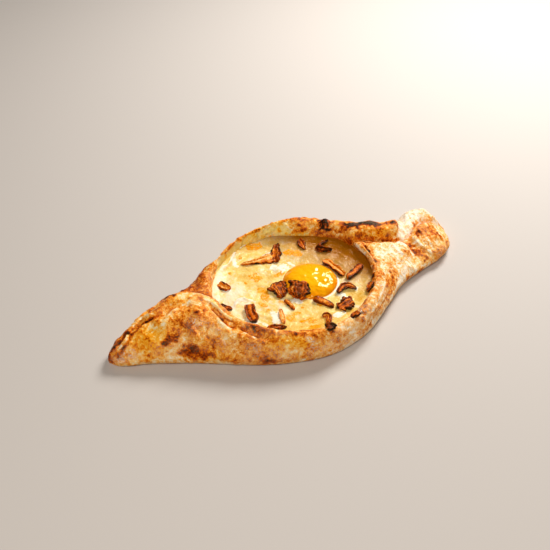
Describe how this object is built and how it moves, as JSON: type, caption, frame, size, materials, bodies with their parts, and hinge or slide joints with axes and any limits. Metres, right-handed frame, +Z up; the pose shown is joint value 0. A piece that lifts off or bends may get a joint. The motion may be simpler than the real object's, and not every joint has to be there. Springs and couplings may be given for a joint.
{
  "type": "khachapuri",
  "caption": "Boat-shaped baked bread with one pointed and one blunt tail, its open middle filled with melted cheese, an egg yolk and fried mushroom pieces.",
  "frame": {"origin": "middle of the underside's bounding box, on the surface that the bread lies on", "axes": "+X along the boat towards the blunt tail, +Y towards the higher side of the rim, +Z up"},
  "size_m": [0.2804, 0.1236, 0.0288],
  "materials": {
    "crust": "baked crust, matt with a soft sheen, floury in places and charred on the highest spots",
    "cheese": "melted cheese, smooth and slightly oily, with browned spots",
    "yolk": "soft egg yolk, wet gloss",
    "mushroom": "fried mushroom, oily, wrinkled, with blackened edges"
  },
  "bodies": {
    "root": {"bread": "crust", "cheese": "cheese", "yolk": "yolk", "mushroom_cap_upright": "mushroom", "mushroom_long_stem": "mushroom", "mushroom_by_high_wall": "mushroom", "mushroom_hook": "mushroom", "mushroom_gutter": "mushroom", "mushroom_roll": "mushroom", "mushroom_fork": "mushroom", "mushroom_stick": "mushroom", "mushroom_frill": "mushroom", "mushroom_fan_left": "mushroom", "mushroom_fan_dark": "mushroom", "mushroom_thin_stem": "mushroom", "mushroom_thick_roll": "mushroom", "mushroom_pale_fan": "mushroom", "mushroom_under_low_rim": "mushroom", "mushroom_curl": "mushroom", "mushroom_on_low_rim": "mushroom", "mushroom_at_low_lip": "mushroom", "mushroom_at_right_lip": "mushroom", "mushroom_below_right_lip": "mushroom", "mushroom_sunk_stem": "mushroom"}
  },
  "joints": []
}
